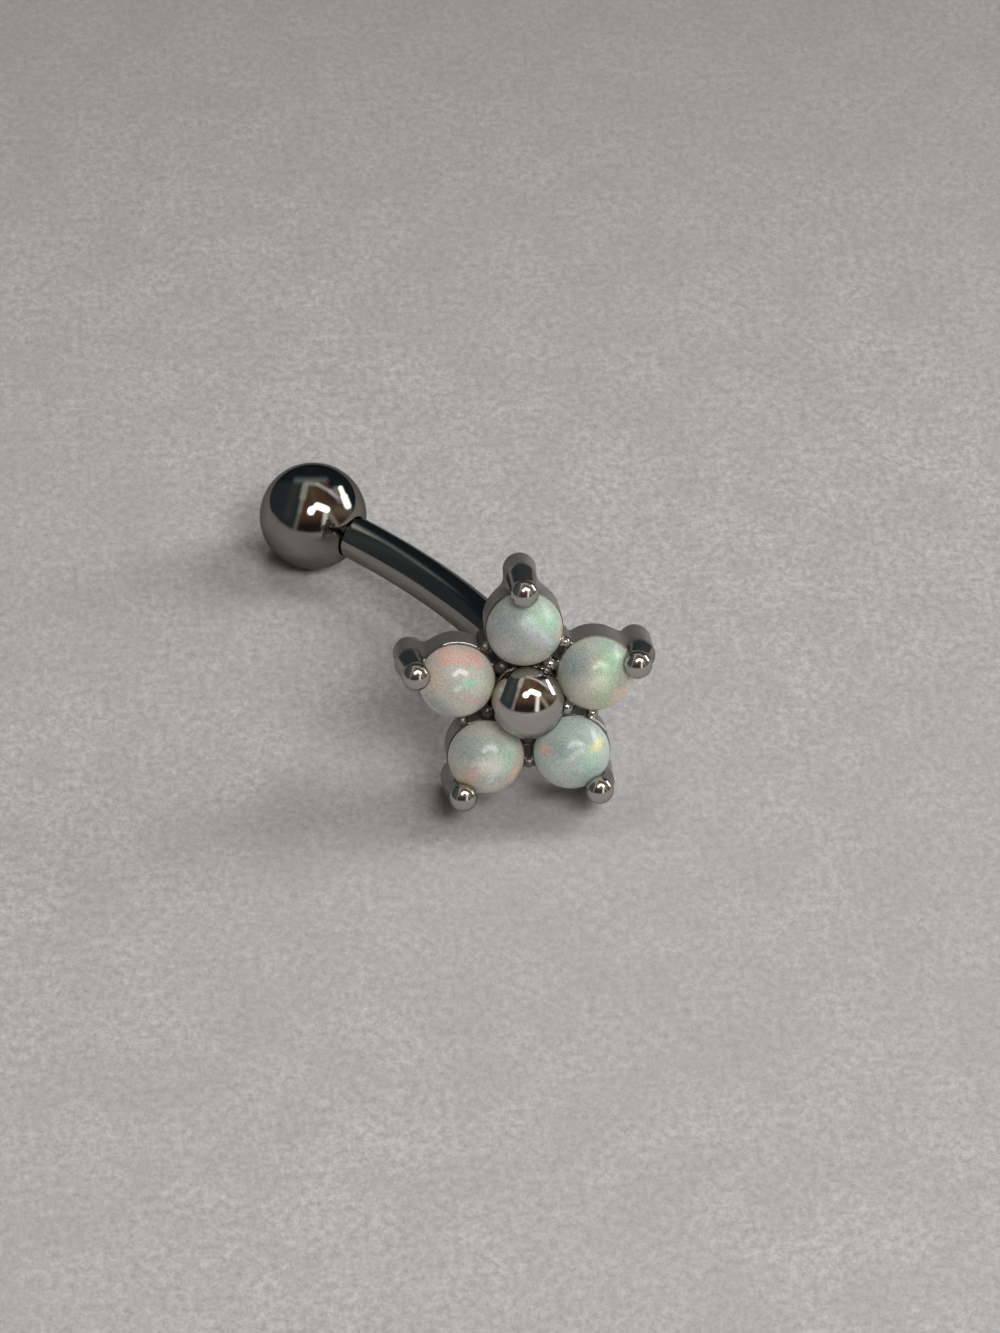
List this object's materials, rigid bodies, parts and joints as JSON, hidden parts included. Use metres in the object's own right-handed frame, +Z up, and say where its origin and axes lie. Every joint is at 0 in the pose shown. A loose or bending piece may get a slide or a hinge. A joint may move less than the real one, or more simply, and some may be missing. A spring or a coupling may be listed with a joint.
{
  "type": "eyebrow ring",
  "caption": "Curved barbell piercing with a flower of round domed opals in pronged cups round a polished bead, and a screw-on ball, lying as it rests.",
  "frame": {"origin": "on the surface it lies on, under the middle of its bounding box", "axes": "+Z up; the flower faces -Y and a little up, and the bar runs back along +Y, bending towards -X to the ball"},
  "size_m": [0.0102, 0.0142, 0.0069],
  "materials": {
    "polished_steel": "polished surgical steel with faint handling marks",
    "opal": "polished milky opal with pastel play of colour"
  },
  "bodies": {
    "barbell": {"flower_barbell": "polished_steel", "opal_top": "opal", "opal_right": "opal", "opal_lower_right": "opal", "opal_lower_left": "opal", "opal_left": "opal"},
    "ball": {"screw_ball": "polished_steel"}
  },
  "joints": [
    {"name": "ball_unscrew", "type": "slide", "parent": "barbell", "child": "ball", "axis": [-0.7553, 0.6514, 0.0719], "range_m": [0, 0.003]}
  ]
}
